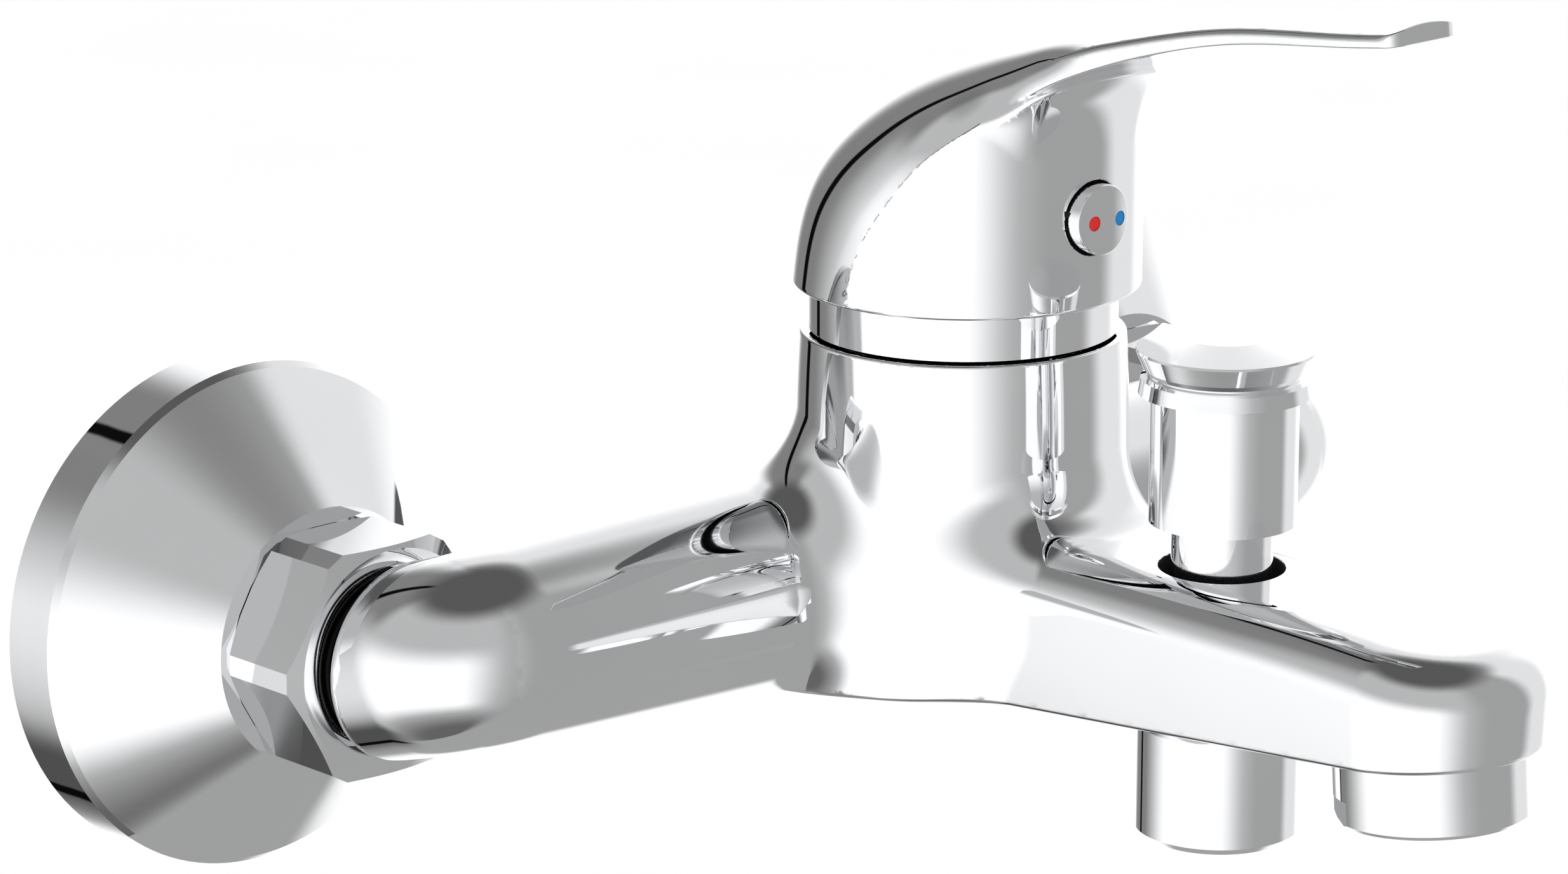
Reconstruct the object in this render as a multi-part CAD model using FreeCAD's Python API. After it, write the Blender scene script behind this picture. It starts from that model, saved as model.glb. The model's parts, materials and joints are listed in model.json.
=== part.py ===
import FreeCAD, Part
import math
import os

# Wall mounted bath faucet, single lever, with pull-up shower diverter.  Millimetres.
# Row frame: wall plane y = 0, faucet stands out toward -Y, X along the wall, +Z up.
# Origin: midway between the two inlets, on the wall plane, at inlet height.

V = FreeCAD.Vector
X_DIR, Y_DIR, Z_DIR = V(1, 0, 0), V(0, 1, 0), V(0, 0, 1)
SIDES = (("left", -1), ("right", 1))

# ---- wall connection -------------------------------------------------------
INLET_SPACING = 150.0
FLANGE_R, FLANGE_RIM_R, FLANGE_RIM_DEPTH = 33.9, 33.6, 8.3
FLANGE_DEPTH, FLANGE_NECK_R, FLANGE_WALL = 22.5, 17.3, 0.9
WALL_PIPE_DROP = 7.0
G12_R, WALL_THREAD_LEN = 10.48, 14.0
G34_R, UNION_FACE_Y, UNION_BORE_R = 13.2, -29.2, 7.5
NUT_FLATS, NUT_CORNER_R, NUT_BACK_Y, NUT_FRONT_Y = 30.2, 16.65, -22.62, -36.0
NUT_THREAD_R, NUT_MOUTH_R = 13.5, 12.5
TAIL_R, TAIL_SHOULDER_R, TAIL_FLANGE_R, TAIL_BORE_R = 10.9, 11.65, 12.9, 7.0

# ---- body ------------------------------------------------------------------
BODY_Y, BODY_RIM_R, BODY_TOP_Z, BODY_LOW_R, BODY_BOTTOM_Z = -63.5, 21.6, 36.0, 22.3, -10.6
TUBE_END = (-49.4, 3.8, 12.5)
TUBE_MID = (-52.0, 3.4, 14.3)
CHAMBER_R, CHAMBER_FLOOR_Z = 18.0, 5.0
SPOUT_HALF_W, SPOUT_TIP_R, SPOUT_TIP_Y = 14.7, 14.7, -144.8
SPOUT_TOP = ((-62.0, 13.6), (-135.0, 12.9), (-162.0, 11.6))
SPOUT_UNDER = ((-162.0, -1.0), (-62.0, -10.2))
BLEND_R, BOTTOM_EDGE_R = 5.0, 7.0

# ---- cartridge -------------------------------------------------------------
PIVOT_Z, BALL_Z, DISC_TRAVEL = 29.0, 17.5, 4.9
CARTRIDGE_R, CARTRIDGE_WALL_R, TURRET_R = 17.4, 15.2, 11.25
STEM_SIDE, STEM_TOP_Z = 8.0, 61.0
PORTS = ((-8.0, -57.0, 3.1), (8.0, -57.0, 3.1), (0.0, -72.5, 4.0))
COVER_R, COVER_TOP_Z, COVER_MOUTH_R = 20.4, 45.0, 17.2

# ---- handle ----------------------------------------------------------------
SKIRT_Y, SKIRT_R, SKIRT_BOTTOM_Z, SKIRT_LAP = -63.9, 23.1, 42.4, 0.1
INDEX_Z, INDEX_R, INDEX_FACE_R, DOT_R, DOTS_X = 54.5, 4.6, 25.03, 0.95, (-1.9, 2.85)
# strap stations: half width, lower edge (y, z), crown (y, z), squareness
STRAP = (
    (23.10, -64.6, 42.4, -41.1, 42.4, 2.0),
    (22.95, -65.5, 45.0, -42.3, 50.3, 2.0),
    (22.80, -66.4, 47.7, -44.8, 56.8, 2.0),
    (22.22, -68.7, 52.7, -50.1, 63.1, 2.0),
    (21.26, -71.8, 57.3, -56.6, 68.0, 2.0),
    (19.66, -75.1, 61.8, -63.5, 71.8, 2.1),
    (16.77, -79.0, 65.7, -70.7, 74.6, 2.2),
    (13.40, -83.3, 69.4, -77.6, 76.7, 2.4),
    (11.29, -87.7, 72.7, -84.1, 78.5, 2.7),
    (9.80, -92.7, 75.2, -90.6, 79.9, 3.1),
    (8.77, -103.1, 78.9, -102.0, 82.5, 3.6),
    (7.84, -113.9, 81.7, -113.3, 84.8, 4.2),
    (7.46, -124.9, 83.3, -124.6, 86.1, 4.6),
    (7.00, -136.0, 84.5, -135.7, 87.0, 4.6),
    (6.50, -141.5, 85.2, -141.1, 87.6, 4.6),
)

# ---- diverter, shower outlet, aerator ---------------------------------------
DIVERTER_Y, DIVERTER_TRAVEL = -110.0, 6.0
KNOB_R, KNOB_TOP_Z, KNOB_RIM_Z, KNOB_COLLAR_R, KNOB_COLLAR_Z = 11.4, 43.4, 41.5, 11.0, 35.9
KNOB_SLEEVE_R, KNOB_SLEEVE_Z, NECK_R = 9.4, 19.2, 6.5
ORING_R, ORING_WIRE_R, ORING_Z = 7.3, 0.45, 7.6
SHOWER_R, SHOWER_BOTTOM_Z, SHOWER_BORE_R = 10.48, -22.3, 7.2
AERATOR_Y, AERATOR_Z, AERATOR_R, AERATOR_TILT = -145.8, -11.2, 12.2, 4.5
AERATOR_FLAT_TURN = -38.0


def cyl(r, low, high, x=0.0, y=0.0):
    return Part.makeCylinder(r, high - low, V(x, y, low), Z_DIR)


def cyl_y(r, y_low, y_high, x=0.0, z=0.0):
    return Part.makeCylinder(r, y_high - y_low, V(x, y_low, z), Y_DIR)


def ring(r_out, r_in, low, high, x=0.0, y=0.0):
    return cyl(r_out, low, high, x, y).cut(cyl(r_in, low - 1, high + 1, x, y))


def ring_y(r_out, r_in, y_low, y_high, x=0.0, z=0.0):
    return cyl_y(r_out, y_low, y_high, x, z).cut(cyl_y(r_in, y_low - 1, y_high + 1, x, z))


def box(x0, x1, y0, y1, z0, z1):
    return Part.makeBox(x1 - x0, y1 - y0, z1 - z0, V(x0, y0, z0))


def rod(start, end, r):
    axis = end.sub(start)
    return Part.makeCylinder(r, axis.Length, start, axis)


def turned_z(profile, x, y):
    """Solid of revolution about a vertical axis; profile is (radius, z) pairs."""
    points = [V(x + r, y, z) for r, z in profile]
    face = Part.Face(Part.makePolygon(points + points[:1]))
    return face.revolve(V(x, y, 0), Z_DIR, 360)


def turned_y(profile, x, z):
    """Solid of revolution about an axis along Y; profile is (radius, y) pairs."""
    points = [V(x + r, y, z) for r, y in profile]
    face = Part.Face(Part.makePolygon(points + points[:1]))
    return face.revolve(V(x, 0, z), Y_DIR, 360)


def prism_yz(points, x0, x1):
    """Extrude a closed (y, z) outline along X."""
    corners = [V(x0, y, z) for y, z in points]
    face = Part.Face(Part.makePolygon(corners + corners[:1]))
    return face.extrude(V(x1 - x0, 0, 0))


def torus(r_mean, r_wire, z, x=0.0, y=0.0):
    return Part.makeTorus(r_mean, r_wire, V(x, y, z), Z_DIR)


def fused(shapes):
    return shapes[0].multiFuse(shapes[1:]).removeSplitter()


# ---- wall side --------------------------------------------------------------
def wall_flange(x):
    neck = FLANGE_NECK_R - 1.2
    outline = (
        (FLANGE_R, 0.0),
        (FLANGE_RIM_R + 0.1, -FLANGE_RIM_DEPTH + 0.6),
        (FLANGE_RIM_R - 0.6, -FLANGE_RIM_DEPTH - 0.3),
        (FLANGE_NECK_R, -FLANGE_DEPTH),
        (NUT_THREAD_R, -FLANGE_DEPTH),
        (NUT_THREAD_R, -15.0),
        (NUT_THREAD_R + 1.3, -15.0),
        (NUT_THREAD_R + 1.3, -FLANGE_DEPTH + FLANGE_WALL),
        (neck, -FLANGE_DEPTH + FLANGE_WALL),
        (FLANGE_RIM_R - 1.6, -FLANGE_RIM_DEPTH + 0.5),
        (FLANGE_R - FLANGE_WALL, 0.0),
    )
    return turned_y(outline, x, 0.0)


def eccentric_union(x):
    wall_end = cyl_y(G12_R, 0.0, WALL_THREAD_LEN, x, -WALL_PIPE_DROP)
    collar = cyl_y(G12_R + 1.5, -6.0, 0.4, x, -WALL_PIPE_DROP)
    offset = cyl_y(G34_R, -12.0, -5.0, x, 0.0)
    tail = cyl_y(G34_R, UNION_FACE_Y, -12.0, x, 0.0)
    body = fused([wall_end, collar, offset, tail])
    front_bore = cyl_y(UNION_BORE_R, UNION_FACE_Y - 1, -7.0, x, 0.0)
    back_bore = cyl_y(UNION_BORE_R, -9.0, 20.0, x, -WALL_PIPE_DROP)
    return body.cut(front_bore).cut(back_bore)


def union_nut(x):
    corner = NUT_FLATS / 2 / math.cos(math.radians(30))
    hexagon = [V(x + corner * math.cos(a), NUT_BACK_Y, corner * math.sin(a))
               for a in (math.radians(60 * i) for i in range(6))]
    blank = Part.Face(Part.makePolygon(hexagon + hexagon[:1])).extrude(V(0, NUT_FRONT_Y - NUT_BACK_Y, 0))
    for i in range(6):
        turn = FreeCAD.Rotation(Y_DIR, 60 * i)
        corner_cut = Part.makeBox(5, 40, 20, V(NUT_CORNER_R, NUT_FRONT_Y - 10, -10))
        corner_cut.Placement = FreeCAD.Placement(V(x, 0, 0), turn).multiply(corner_cut.Placement)
        blank = blank.cut(corner_cut)
    chamfer = ((0.0, NUT_BACK_Y + 0.01), (15.2, NUT_BACK_Y + 0.01), (17.8, NUT_BACK_Y - 1.6),
               (17.8, NUT_FRONT_Y + 1.5), (14.6, NUT_FRONT_Y), (0.0, NUT_FRONT_Y))
    blank = blank.common(turned_y(chamfer, x, 0.0))
    thread = cyl_y(NUT_THREAD_R, UNION_FACE_Y - 4.3, NUT_BACK_Y + 1, x, 0.0)
    return blank.cut(thread).cut(cyl_y(NUT_MOUTH_R, NUT_FRONT_Y - 1, NUT_BACK_Y, x, 0.0))


def union_seal(x):
    return ring_y(12.4, 8.2, UNION_FACE_Y - 2.0, UNION_FACE_Y - 0.02, x, 0.0)


def strainer(x):
    """Perforated cup resting inside the seal ring."""
    y = UNION_FACE_Y - 1.2
    disc = cyl_y(8.1, y - 0.4, y, x, 0.0)
    holes = [cyl_y(0.65, y - 2, y + 2, x + radius * math.cos(a), radius * math.sin(a))
             for radius, count in ((2.2, 6), (4.3, 12), (6.4, 18))
             for a in (2 * math.pi * i / count for i in range(count))]
    return disc.cut(holes[0].multiFuse(holes[1:]))


def inlet_tail(x):
    """Screwed-in tail piece whose flange traps the union nut."""
    flange = cyl_y(TAIL_FLANGE_R, UNION_FACE_Y - 4.2, UNION_FACE_Y - 2.02, x, 0.0)
    neck = cyl_y(TAIL_R, -37.4, UNION_FACE_Y - 4.2, x, 0.0)
    shoulder = cyl_y(TAIL_SHOULDER_R, -35.3, UNION_FACE_Y - 4.2, x, 0.0)
    screw = cyl_y(9.0, -43.0, -37.4, x, 0.0)
    return fused([flange, neck, shoulder, screw]).cut(cyl_y(TAIL_BORE_R, -50, -20, x, 0.0))


# ---- body casting -----------------------------------------------------------
def cross_tube():
    """Slightly swept, tapering cross tube, as one ruled solid through three round sections."""
    y_end, z_end, r_end = TUBE_END
    y_mid, z_mid, r_mid = TUBE_MID
    half = INLET_SPACING / 2
    stations = ((-half, y_end, z_end, r_end), (0.0, y_mid, z_mid, r_mid), (half, y_end, z_end, r_end))
    wires = [Part.Wire(Part.makeCircle(r, V(x, y, z), X_DIR)) for x, y, z, r in stations]
    return Part.makeLoft(wires, True, True)


def elbow(sign):
    """Rounded end of the cross tube with its short neck toward the wall."""
    y_end, z_end, r_end = TUBE_END
    x = sign * INLET_SPACING / 2
    centre = V(x, y_end, z_end)
    r_end += 0.06
    toward_wall = V(x, -37.5, 0).sub(centre)
    neck = Part.makeCylinder(TAIL_R + 0.5, toward_wall.Length + 6, centre, toward_wall)
    return Part.makeSphere(r_end, centre).fuse(neck.cut(box(x - 20, x + 20, -37.5, 0, -20, 20)))


def body_barrel():
    outline = ((0.0, BODY_BOTTOM_Z), (BODY_LOW_R, BODY_BOTTOM_Z), (BODY_RIM_R, BODY_TOP_Z), (0.0, BODY_TOP_Z))
    barrel = turned_z(outline, 0.0, BODY_Y)
    return barrel.makeFillet(BOTTOM_EDGE_R, [e for e in barrel.Edges if e.BoundBox.ZMax < BODY_BOTTOM_Z + 0.1])


def spout_blank():
    w, tip = SPOUT_HALF_W, V(0, SPOUT_TIP_Y - SPOUT_TIP_R, -30)
    root_y = SPOUT_TOP[0][0]
    left, right = V(-w, root_y, -30), V(w, root_y, -30)
    left_tip, right_tip = V(-w, SPOUT_TIP_Y, -30), V(w, SPOUT_TIP_Y, -30)
    wire = Part.Wire([
        Part.LineSegment(right, left).toShape(),
        Part.LineSegment(left, left_tip).toShape(),
        Part.Arc(left_tip, tip, right_tip).toShape(),
        Part.LineSegment(right_tip, right).toShape(),
    ])
    plan = Part.Face(wire).extrude(V(0, 0, 80))
    blank = plan.common(prism_yz(SPOUT_TOP + SPOUT_UNDER, -40, 40))
    top_edges = [e for e in blank.Edges if e.BoundBox.ZMin > 9 and e.BoundBox.YMax < root_y + 0.1
                 and e.BoundBox.YLength > 5]
    blank = blank.makeFillet(6.0, [e for e in top_edges if e.BoundBox.XLength < 1 or e.BoundBox.YMin < SPOUT_TIP_Y - 1])
    return blank


def body_passages():
    """Supply channels, mixed-water channel, cartridge chamber and valve cavities."""
    cuts = [cyl(CHAMBER_R, CHAMBER_FLOOR_Z, BODY_TOP_Z + 5, 0, BODY_Y)]
    for sign, port in ((-1, PORTS[0]), (1, PORTS[1])):
        x = sign * INLET_SPACING / 2
        cuts.append(cyl_y(9.05, -43.1, -36.0, x, 0.0))
        cuts.append(cyl_y(TAIL_R + 0.05, -37.42, -35.0, x, 0.0))
        cuts.append(cyl_y(TAIL_BORE_R, -50.0, -36.0, x, 0.0))
        cuts.append(rod(V(x, -50.0, 1.5), V(port[0], port[1], -1.5), 5.5))
        cuts.append(cyl(port[2], -1.5, CHAMBER_FLOOR_Z + 1, port[0], port[1]))
    px, py, pr = PORTS[2]
    cuts.append(cyl(pr, -2.5, CHAMBER_FLOOR_Z + 1, px, py))
    cuts.append(rod(V(0, py, -2.0), V(0, DIVERTER_Y, -2.2), 3.0))
    cuts.append(cyl(8.0, 9.0, 40.0, 0, DIVERTER_Y))
    cuts.append(cyl(7.9, 1.8, 9.5, 0, DIVERTER_Y))
    cuts.append(cyl(9.5, -30.0, 0.4, 0, DIVERTER_Y))
    cuts.append(cyl(7.2, 0.0, 2.0, 0, DIVERTER_Y))
    cuts.append(rod(V(0, DIVERTER_Y, 4.2), V(0, AERATOR_Y, 4.4), 2.7))
    cuts.append(tilted(cyl(11.5, 5.0, 12.6)))
    cuts.append(tilted(cyl(9.0, 12.0, 15.6)))
    return cuts[0].multiFuse(cuts[1:])


def junction_edges(shape):
    """Edges where the spout and the cross tube run into the barrel."""
    found = []
    for edge in shape.Edges:
        middle = edge.valueAt((edge.FirstParameter + edge.LastParameter) / 2)
        radius = math.hypot(middle.x, middle.y - BODY_Y)
        if BODY_RIM_R - 0.1 < radius < BODY_LOW_R + 0.3 and middle.z < 25.0 and edge.Length > 0.8:
            found.append(edge)
    return found


def body_casting():
    blank = cross_tube().multiFuse([elbow(-1), elbow(1), body_barrel(), spout_blank()]).removeSplitter()
    blank = blank.makeFillet(BLEND_R, junction_edges(blank))
    return blank.cut(body_passages())


# ---- cartridge stack ---------------------------------------------------------
def port_cut(low, high, grow=0.0):
    holes = [cyl(r + grow, low, high, x, y) for x, y, r in PORTS]
    return holes[0].multiFuse(holes[1:])


def cartridge_seals():
    rings = [ring(r + 1.5, r, CHAMBER_FLOOR_Z + 0.01, CHAMBER_FLOOR_Z + 0.59, x, y) for x, y, r in PORTS]
    return Part.makeCompound(rings)


def cartridge_base():
    return cyl(CARTRIDGE_R, 5.6, 7.98, 0, BODY_Y).cut(port_cut(5, 9))


def fixed_disc():
    return cyl(14.9, 8.0, 11.5, 0, BODY_Y).cut(port_cut(7, 12))


def moving_disc():
    centre = BODY_Y + DISC_TRAVEL / 2
    disc = cyl(11.0, 11.55, 14.95, 0, centre)
    return disc.cut(box(-8, 8, centre - 4, centre + 4, 11.0, 13.2))


def disc_carrier():
    centre = BODY_Y + DISC_TRAVEL / 2
    carrier = cyl(11.0, 15.0, 19.8, 0, centre)
    return carrier.cut(box(-2.7, 2.7, BODY_Y - 2.65, BODY_Y + 2.65, 14.9, 20.0))


def cartridge_housing():
    outline = ((CARTRIDGE_WALL_R, 8.0), (CARTRIDGE_R, 8.0), (CARTRIDGE_R, 27.0),
               (TURRET_R + 0.05, 27.0), (TURRET_R + 0.05, 23.2), (CARTRIDGE_WALL_R, 23.2))
    return turned_z(outline, 0.0, BODY_Y)


def turret():
    blank = fused([cyl(TURRET_R, 23.0, 36.0, 0, BODY_Y), cyl(14.8, 20.1, 23.0, 0, BODY_Y)])
    slot = fused([box(-3.2, 3.2, BODY_Y - 7.5, BODY_Y + 6.5, 19, 31.2),
                  box(-4.2, 4.2, BODY_Y - 4.3, BODY_Y + 8.6, 31.0, 40),
                  box(-4.2, 4.2, BODY_Y + 2.0, BODY_Y + 8.6, 29.6, 31.1)])
    pin_bore = rod(V(-9.6, BODY_Y, PIVOT_Z), V(9.6, BODY_Y, PIVOT_Z), 1.51)
    return blank.cut(slot).cut(pin_bore)


def pivot_pin():
    return rod(V(-9.5, BODY_Y, PIVOT_Z), V(9.5, BODY_Y, PIVOT_Z), 1.5)


def stem():
    half = STEM_SIDE / 2
    head = box(-half, half, BODY_Y - half, BODY_Y + half, 32.0, STEM_TOP_Z)
    shank = box(-3.0, 3.0, BODY_Y - 2.8, BODY_Y + 2.8, 25.5, 32.5)
    foot = rod(V(0, BODY_Y, BALL_Z), V(0, BODY_Y, 26), 1.7)
    ball = Part.makeSphere(2.5, V(0, BODY_Y, BALL_Z))
    bore = rod(V(-6, BODY_Y, PIVOT_Z), V(6, BODY_Y, PIVOT_Z), 1.55)
    return fused([head, shank, foot, ball]).cut(bore)


def lock_nut():
    nut = ring(17.9, 12.3, 27.02, 34.9, 0, BODY_Y)
    for i in range(6):
        slot = box(-1.6, 1.6, 14.8, 19.0, 32.4, 36.0)
        slot.rotate(V(0, 0, 0), Z_DIR, 60 * i)
        slot.translate(V(0, BODY_Y, 0))
        nut = nut.cut(slot)
    return nut


def cover_sleeve():
    outline = ((COVER_R, 36.35), (COVER_R, COVER_TOP_Z - 1.8), (COVER_R - 0.9, COVER_TOP_Z - 0.5),
               (COVER_R - 2.2, COVER_TOP_Z), (COVER_MOUTH_R, COVER_TOP_Z), (COVER_MOUTH_R, COVER_TOP_Z - 1.2),
               (COVER_R - 1.6, COVER_TOP_Z - 2.4), (COVER_R - 1.6, 36.35))
    return turned_z(outline, 0.0, BODY_Y)


# ---- handle ------------------------------------------------------------------
def strap_wire(station):
    """Closed section: straight lower edge and a crowned, increasingly square outer curve."""
    half, y0, z0, y1, z1, square = station
    out = V(0, y1 - y0, z1 - z0)
    points = []
    for i in range(17):
        a = math.pi * i / 16
        c, s = math.cos(a), math.sin(a)
        x = half * math.copysign(abs(c) ** (2 / square), c)
        points.append(V(x, y0, z0).add(V(out).multiply(max(s, 0.0) ** (2 / square))))
    curve = Part.BSplineCurve()
    curve.interpolate(points)
    return Part.Wire([curve.toShape(), Part.LineSegment(points[-1], points[0]).toShape()])


def strap():
    return Part.makeLoft([strap_wire(s) for s in STRAP], True, False)


def handle_skirt():
    """Round skirt, its top kept a little inside the strap so that the two join cleanly."""
    under = [(y0 + SKIRT_LAP * (y1 - y0), z0 + SKIRT_LAP * (z1 - z0)) for _, y0, z0, y1, z1, _ in STRAP[:9]]
    outline = [(-95.0, SKIRT_BOTTOM_Z)] + under + [(-95.0, under[-1][1] + 0.4)]
    return cyl(SKIRT_R, SKIRT_BOTTOM_Z, 80, 0, SKIRT_Y).common(prism_yz(outline, -30, 30))


def handle_lever():
    outer = strap().fuse(handle_skirt())
    hollow = turned_z(((0, 40), (21.3, 40), (21.3, 44.0), (19.4, 50.0), (15.5, 55.5), (9.0, 59.5), (0, 60.0)),
                      0.0, SKIRT_Y)
    boss = fused([cyl(8.0, 50.0, 63.0, 0, BODY_Y), box(-5.5, 5.5, -84.0, BODY_Y, 50.0, 62.0)])
    half = STEM_SIDE / 2 + 0.05
    socket = box(-half, half, BODY_Y - half, BODY_Y + half, 40, STEM_TOP_Z + 0.1)
    screw_bore = cyl_y(2.52, -82.5, BODY_Y, 0, INDEX_Z)
    plug_bore = cyl_y(3.15, -95.0, -82.0, 0, INDEX_Z)
    recess = cyl_y(INDEX_R + 0.4, -95.0, -86.0, 0, INDEX_Z)
    return outer.cut(hollow.cut(boss)).cut(socket).cut(screw_bore).cut(plug_bore).cut(recess)


def grub_screw():
    screw = cyl_y(2.5, -79.5, BODY_Y - STEM_SIDE / 2 - 0.02, 0, INDEX_Z)
    hexagon = [V(1.44 * math.cos(math.radians(60 * i)), -79.6, INDEX_Z + 1.44 * math.sin(math.radians(60 * i)))
               for i in range(6)]
    key = Part.Face(Part.makePolygon(hexagon + hexagon[:1])).extrude(V(0, 3.0, 0))
    return screw.cut(key)


def index_face(sunk):
    """Cylinder about the skirt axis that bounds the button's face, sunk below it by the given depth."""
    return cyl(INDEX_FACE_R - sunk, INDEX_Z - 10, INDEX_Z + 10, 0, SKIRT_Y)


def index_dot(x, r):
    return cyl_y(r, -90.0, -88.1, x, INDEX_Z - 0.2)


def index_button():
    outline = ((0, -82.6), (3.1, -82.6), (3.1, -86.05), (INDEX_R, -86.05), (INDEX_R, -90.0), (0, -90.0))
    button = turned_y(outline, 0.0, INDEX_Z).common(index_face(0.0))
    rim = [e for e in button.Edges if e.BoundBox.YMax < -88.0 and e.Length > 20]
    button = button.makeFillet(0.25, rim)
    for x in DOTS_X:
        button = button.cut(index_dot(x, DOT_R + 0.02).cut(index_face(0.5)))
    return button


def dot_enamel(x):
    return index_dot(x, DOT_R).common(index_face(0.12)).cut(index_face(0.48))


# ---- diverter ------------------------------------------------------------------
def diverter_knob():
    outline = ((0.0, KNOB_TOP_Z), (5.0, KNOB_TOP_Z - 0.35), (9.0, KNOB_TOP_Z - 1.2), (KNOB_R - 0.1, KNOB_RIM_Z + 0.2),
               (KNOB_R, KNOB_RIM_Z - 0.1), (10.4, 39.1), (9.7, 38.2), (9.9, 38.0), (10.7, 37.8),
               (KNOB_COLLAR_R, KNOB_COLLAR_Z), (KNOB_SLEEVE_R, KNOB_COLLAR_Z - 0.6), (KNOB_SLEEVE_R, KNOB_SLEEVE_Z),
               (NECK_R + 0.6, KNOB_SLEEVE_Z), (NECK_R + 0.6, 37.0), (2.06, 37.0), (2.06, 40.5), (0.0, 40.5))
    return turned_z(outline, 0.0, DIVERTER_Y)


def diverter_bonnet():
    outline = ((NECK_R, 30.0), (NECK_R, 10.2), (7.8, 9.8), (7.8, 5.2), (5.6, 5.2), (5.6, 11.0), (4.8, 11.0),
               (4.8, 28.6), (2.06, 28.6), (2.06, 30.0))
    groove = ring(8.5, ORING_R - ORING_WIRE_R - 0.02, ORING_Z - 0.5, ORING_Z + 0.5, 0, DIVERTER_Y)
    return turned_z(outline, 0.0, DIVERTER_Y).cut(groove)


def diverter_stem():
    shaft = cyl(2.0, -8.0, 40.4, 0, DIVERTER_Y)
    return fused([shaft, cyl(4.5, 14.6, 15.8, 0, DIVERTER_Y), cyl(5.0, -6.9, -6.3, 0, DIVERTER_Y)])


def diverter_washer(low, high):
    return ring(6.6, 2.02, low, high, 0, DIVERTER_Y)


def diverter_spring():
    """Return spring between the stem collar and the bonnet roof."""
    coils, pitch = 6, 2.0
    helix = Part.makeHelix(pitch, coils * pitch, 3.6)
    profile = Part.Wire(Part.makeCircle(0.35, V(3.6, 0, 0), Y_DIR))
    wire = Part.Wire(helix).makePipeShell([profile], True, True)
    wire.translate(V(0, DIVERTER_Y, 16.2))
    return wire


def diverter_seat():
    return ring(7.15, 4.4, 0.6, 1.7, 0, DIVERTER_Y)


def shower_nipple():
    outline = ((SHOWER_R - 1.2, SHOWER_BOTTOM_Z), (SHOWER_R, SHOWER_BOTTOM_Z + 1.0), (SHOWER_R, -7.4),
               (9.4, -7.4), (9.4, 0.3), (SHOWER_BORE_R, 0.3), (SHOWER_BORE_R, -8.2), (4.6, -8.2), (4.6, -9.4),
               (SHOWER_BORE_R, -9.4), (SHOWER_BORE_R, SHOWER_BOTTOM_Z))
    nipple = turned_z(outline, 0.0, DIVERTER_Y)
    return nipple.cut(cyl_y(2.2, DIVERTER_Y - 12, DIVERTER_Y + 12, 0, -2.4))


def shower_check_valve():
    """Drop-in non-return valve held in the shower outlet bore."""
    outline = ((SHOWER_BORE_R - 0.05, -9.6), (SHOWER_BORE_R - 0.05, -19.5), (5.9, -19.5), (5.9, -10.8),
               (4.4, -10.8), (4.4, -9.6))
    shell = turned_z(outline, 0.0, DIVERTER_Y)
    spider = [box(-6.2, 6.2, DIVERTER_Y - 0.6, DIVERTER_Y + 0.6, -19.5, -18.0),
              box(-0.6, 0.6, DIVERTER_Y - 6.2, DIVERTER_Y + 6.2, -19.5, -18.0)]
    return fused([shell] + spider)


def check_poppet():
    outline = ((0, -11.0), (5.0, -11.0), (5.0, -12.0), (1.2, -12.8), (1.2, -16.5), (0, -16.5))
    return turned_z(outline, 0.0, DIVERTER_Y)


# ---- aerator ---------------------------------------------------------------------
def tilted(shape):
    """Place a shape built on the Z axis with its lower face at z = 0 onto the aerator axis."""
    moved = shape.copy()
    moved.rotate(V(0, 0, 0), X_DIR, -AERATOR_TILT)
    moved.translate(V(0, AERATOR_Y, AERATOR_Z))
    return moved


def aerator_housing():
    outline = ((AERATOR_R - 0.5, 0.0), (AERATOR_R, 0.5), (AERATOR_R, 8.4), (11.4, 8.4), (11.4, 12.4),
               (10.2, 12.4), (10.2, 1.4), (9.6, 1.4), (9.6, 0.0))
    housing = turned_z(outline, 0.0, 0.0)
    for turn in (AERATOR_FLAT_TURN, AERATOR_FLAT_TURN + 180):
        flat = box(AERATOR_R - 0.7, AERATOR_R + 2, -4.5, 4.5, -1, 3.4)
        flat.rotate(V(0, 0, 0), Z_DIR, turn)
        housing = housing.cut(flat)
    return tilted(housing)


def aerator_insert():
    cup = ring(10.15, 9.0, 1.45, 9.8)
    grid = cyl(9.1, 1.45, 2.6)
    holes = [cyl(1.0, 0, 4, 2.7 * (i + 0.5 * (j % 2)), 2.34 * j)
             for j in range(-3, 4) for i in range(-4, 4)
             if math.hypot(2.7 * (i + 0.5 * (j % 2)), 2.34 * j) < 7.8]
    grid = grid.cut(holes[0].multiFuse(holes[1:]))
    return tilted(fused([cup, grid]))


def aerator_screen():
    disc = cyl(10.1, 9.85, 10.25)
    holes = [cyl(0.7, 9, 11, r * math.cos(a), r * math.sin(a))
             for r, n in ((2.0, 6), (4.2, 12), (6.4, 18))
             for a in (2 * math.pi * i / n for i in range(n))]
    return tilted(disc.cut(holes[0].multiFuse(holes[1:])))


def aerator_gasket():
    return tilted(ring(10.1, 8.2, 10.3, 12.3))


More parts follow.
